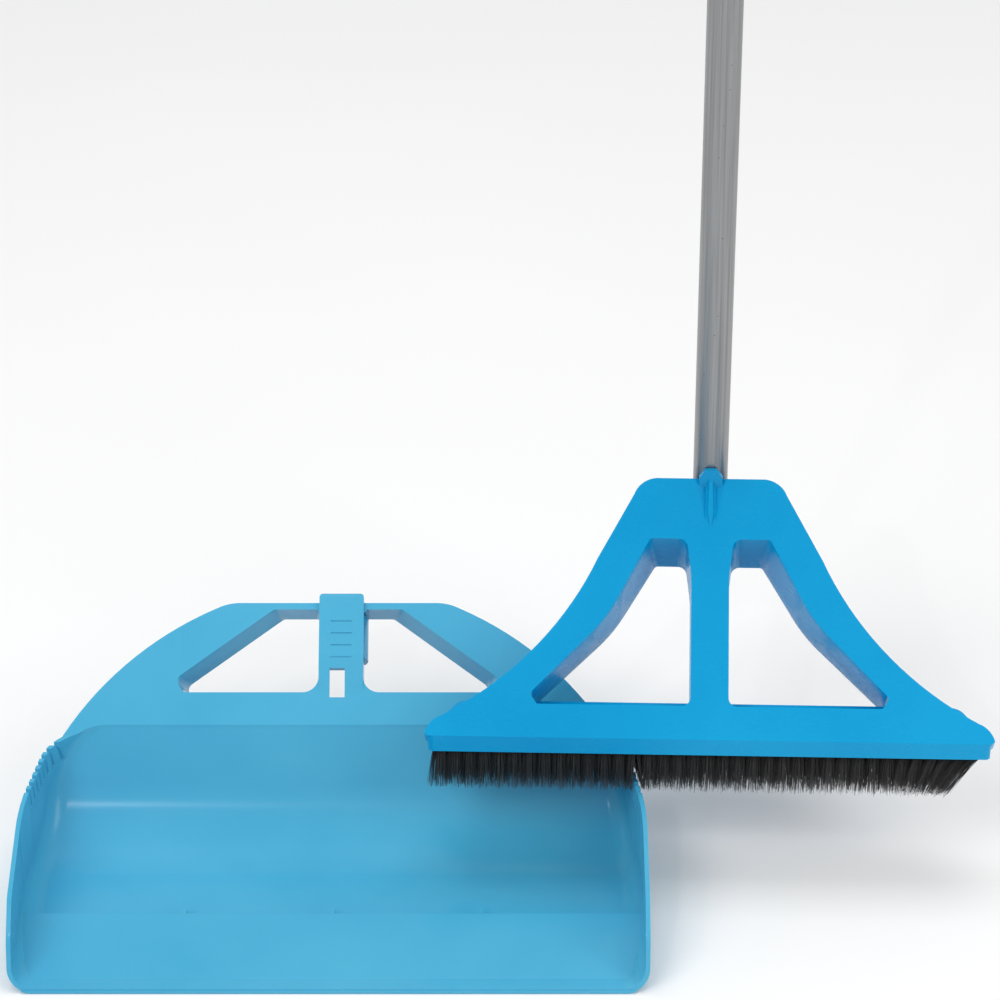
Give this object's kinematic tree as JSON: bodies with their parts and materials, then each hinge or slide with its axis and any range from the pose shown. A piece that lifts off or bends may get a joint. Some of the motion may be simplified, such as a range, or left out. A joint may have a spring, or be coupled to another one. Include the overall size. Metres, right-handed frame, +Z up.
{
  "type": "dust pan and brush set",
  "caption": "Open-fronted dust pan with comb-edged cheeks and a pole clip, and a wide tufted broom head on a telescoping pole.",
  "frame": {"origin": "middle of the pan's flat underside, on the floor", "axes": "+Z up along the pole, +Y from the pan's lip to its back, +X to the right of someone facing the lip"},
  "size_m": [0.5278, 0.2464, 1.01],
  "materials": {
    "pan_plastic": "glossy injection-moulded light blue polypropylene",
    "head_plastic": "glossy injection-moulded deeper blue polypropylene",
    "bristle": "dense black synthetic bristle",
    "anchor_steel": "flat wire staple",
    "pole_steel": "satin grey coated steel tube",
    "grey_plastic": "moulded grey plastic",
    "black_plastic": "moulded black plastic",
    "grip_rubber": "soft black grip"
  },
  "bodies": {
    "dustpan": {"pan_shell": "pan_plastic", "pole_clip": "pan_plastic"},
    "broom": {"head_frame": "head_plastic", "tuft_anchors": "anchor_steel", "bristle_row_1": "bristle", "bristle_row_2": "bristle", "bristle_row_3": "bristle", "bristle_row_4": "bristle", "lower_tube": "pole_steel", "pole_ferrule": "grey_plastic", "lock_sleeve": "grey_plastic"},
    "twist_nut": {"lock_nut": "black_plastic"},
    "upper_pole": {"upper_tube": "pole_steel", "guide_bush": "grey_plastic", "hand_grip": "grip_rubber", "end_cap": "head_plastic"}
  },
  "joints": [
    {"name": "broom_lift", "type": "slide", "parent": "dustpan", "child": "broom", "axis": [0, 0, 1], "range_m": [0, 0.4]},
    {"name": "nut_twist", "type": "hinge", "parent": "broom", "child": "twist_nut", "pos_m": [0.207, 0.182, 0.648], "axis": [0, 0, 1], "range_deg": [0, 180]},
    {"name": "pole_extend", "type": "slide", "parent": "broom", "child": "upper_pole", "axis": [0, 0, 1], "range_m": [-0.18, 0.13]}
  ]
}
